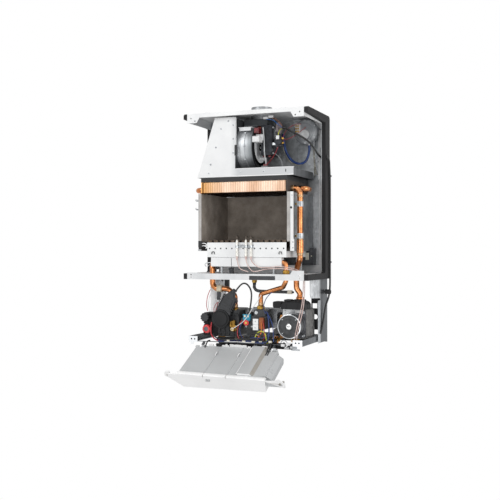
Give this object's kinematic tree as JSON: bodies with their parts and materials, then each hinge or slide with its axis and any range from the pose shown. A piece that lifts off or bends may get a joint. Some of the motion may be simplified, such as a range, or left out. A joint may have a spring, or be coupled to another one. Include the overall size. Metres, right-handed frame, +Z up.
{
  "type": "wall-hung gas boiler",
  "caption": "Wall-hung gas boiler with its case off: fan, flue hood, finned heat exchanger, burner, pump and valves on a sheet chassis, and a control panel that folds down.",
  "frame": {"origin": "on the wall face of the rear rail, at the middle of the width and the bottom of the chassis", "axes": "+X to the right, +Y from the front to the wall, +Z up"},
  "size_m": [0.4358, 0.3994, 0.8907],
  "materials": {
    "white_sheet": "satin",
    "zinc_sheet": "brushed",
    "dark_sheet": "satin",
    "black_sheet": "satin",
    "foam": "matte",
    "flue_metal": "satin",
    "fan_metal": "satin",
    "motor_iron": "satin",
    "white_plastic": "satin",
    "lead_wire": "satin",
    "grey_clear_plastic": "gloss",
    "blue_tube": "satin",
    "fin_copper": "satin",
    "copper": "polished",
    "fibre": "matte",
    "burner_steel": "heat-darkened",
    "ceramic_white": "gloss",
    "pink_wire": "satin",
    "brass": "satin",
    "grey_hose": "satin",
    "plate_steel": "dark",
    "pump_iron": "satin",
    "pump_face": "satin",
    "bright_steel": "polished",
    "black_plastic": "satin",
    "valve_body": "satin",
    "teal_plastic": "gloss",
    "red_plastic": "gloss",
    "wire_mix": "satin",
    "black_cable": "satin",
    "screw_steel": "satin",
    "panel_grey": "satin",
    "panel_white": "satin",
    "knob_grey": "satin"
  },
  "bodies": {
    "chassis": {"top_plate": "white_sheet", "back_panel": "zinc_sheet", "chamber_floor": "white_sheet", "floor_insert": "black_plastic", "rear_frame": "zinc_sheet", "side_rails": "zinc_sheet", "rear_bracket": "black_sheet", "foam_seals": "foam", "flue_collar": "flue_metal", "hood_shell": "dark_sheet", "hood_front": "white_sheet", "hood_screws": "screw_steel", "fan_housing": "fan_metal", "fan_motor": "motor_iron", "fan_bracket": "white_plastic", "fan_leads": "lead_wire", "pressure_switch": "grey_clear_plastic", "pressure_tube": "blue_tube", "exchanger_fins": "fin_copper", "exchanger_collar": "dark_sheet", "exchanger_bends": "copper", "combustion_shell": "zinc_sheet", "insulation": "fibre", "burner_ramps": "burner_steel", "burner_bracket": "white_sheet", "gas_manifold": "white_sheet", "electrodes": "ceramic_white", "electrode_leads": "pink_wire", "flow_pipe": "copper", "pipe_clips": "zinc_sheet", "return_pipe": "copper", "gas_pipe": "copper", "brass_nuts": "brass", "drain_hose": "grey_hose", "plate_exchanger": "plate_steel", "pump_volute": "pump_iron", "pump_motor": "pump_face", "air_vent": "black_plastic", "diverter_body": "black_plastic", "diverter_motor": "black_plastic", "gas_valve": "valve_body", "valve_plate": "white_sheet", "flow_sensor": "teal_plastic", "safety_valve": "black_plastic", "service_pipes": "copper", "lower_harness": "wire_mix", "black_cables": "black_cable", "panel_harness": "black_cable"},
    "fan_rotor": {"fan_rotor": "fan_metal"},
    "pump_rotor": {"pump_rotor": "bright_steel"},
    "vent_screw": {"vent_screw": "bright_steel"},
    "diverter_spindle": {"diverter_spindle": "brass"},
    "safety_knob": {"safety_knob": "red_plastic"},
    "fill_tap": {"fill_tap": "black_plastic"},
    "control_panel": {"panel_cover": "panel_grey", "panel_fascia": "panel_white"},
    "knob_heating": {"knob_heating": "knob_grey"},
    "knob_water": {"knob_water": "knob_grey"},
    "reset_button": {"reset_button": "black_plastic"},
    "gauge_pointer": {"gauge_pointer": "red_plastic"}
  },
  "joints": [
    {"name": "fan_spin", "type": "hinge", "parent": "chassis", "child": "fan_rotor", "pos_m": [0, -0.145, 0.6378], "axis": [1, 0, 0], "continuous": true},
    {"name": "pump_spin", "type": "hinge", "parent": "chassis", "child": "pump_rotor", "pos_m": [0.143, -0.2, 0.063], "axis": [0, 1, 0], "continuous": true},
    {"name": "vent_screw_turn", "type": "hinge", "parent": "chassis", "child": "vent_screw", "pos_m": [0.143, -0.228, 0.063], "axis": [0, -1, 0], "range_deg": [0, 360]},
    {"name": "diverter_slide", "type": "slide", "parent": "chassis", "child": "diverter_spindle", "axis": [0, -1, 0], "range_m": [0, 0.006]},
    {"name": "safety_knob_turn", "type": "hinge", "parent": "chassis", "child": "safety_knob", "pos_m": [-0.144, -0.22, 0.046], "axis": [0, -1, 0], "range_deg": [0, 90]},
    {"name": "fill_tap_turn", "type": "hinge", "parent": "chassis", "child": "fill_tap", "pos_m": [-0.152, -0.215, 0.083], "axis": [0, -1, 0], "range_deg": [0, 270]},
    {"name": "panel_hinge", "type": "hinge", "parent": "chassis", "child": "control_panel", "pos_m": [0, -0.246, -0.01], "axis": [-1, 0, 0], "range_deg": [0, 117], "deforming": ["panel_harness"]},
    {"name": "heating_knob_turn", "type": "hinge", "parent": "control_panel", "child": "knob_heating", "pos_m": [-0.07, -0.30576, -0.09095], "axis": [0, -0.454, 0.891], "range_deg": [-135, 135]},
    {"name": "water_knob_turn", "type": "hinge", "parent": "control_panel", "child": "knob_water", "pos_m": [0.05, -0.30576, -0.09095], "axis": [0, -0.454, 0.891], "range_deg": [-135, 135]},
    {"name": "reset_press", "type": "slide", "parent": "control_panel", "child": "reset_button", "axis": [0, -0.454, 0.891], "range_m": [0, 0.0025], "stiffness_N_per_m": 400, "springref_m": -0.001},
    {"name": "gauge_swing", "type": "hinge", "parent": "control_panel", "child": "gauge_pointer", "pos_m": [-0.01, -0.32831, -0.09515], "axis": [0, -0.454, 0.891], "range_deg": [0, 240]}
  ]
}
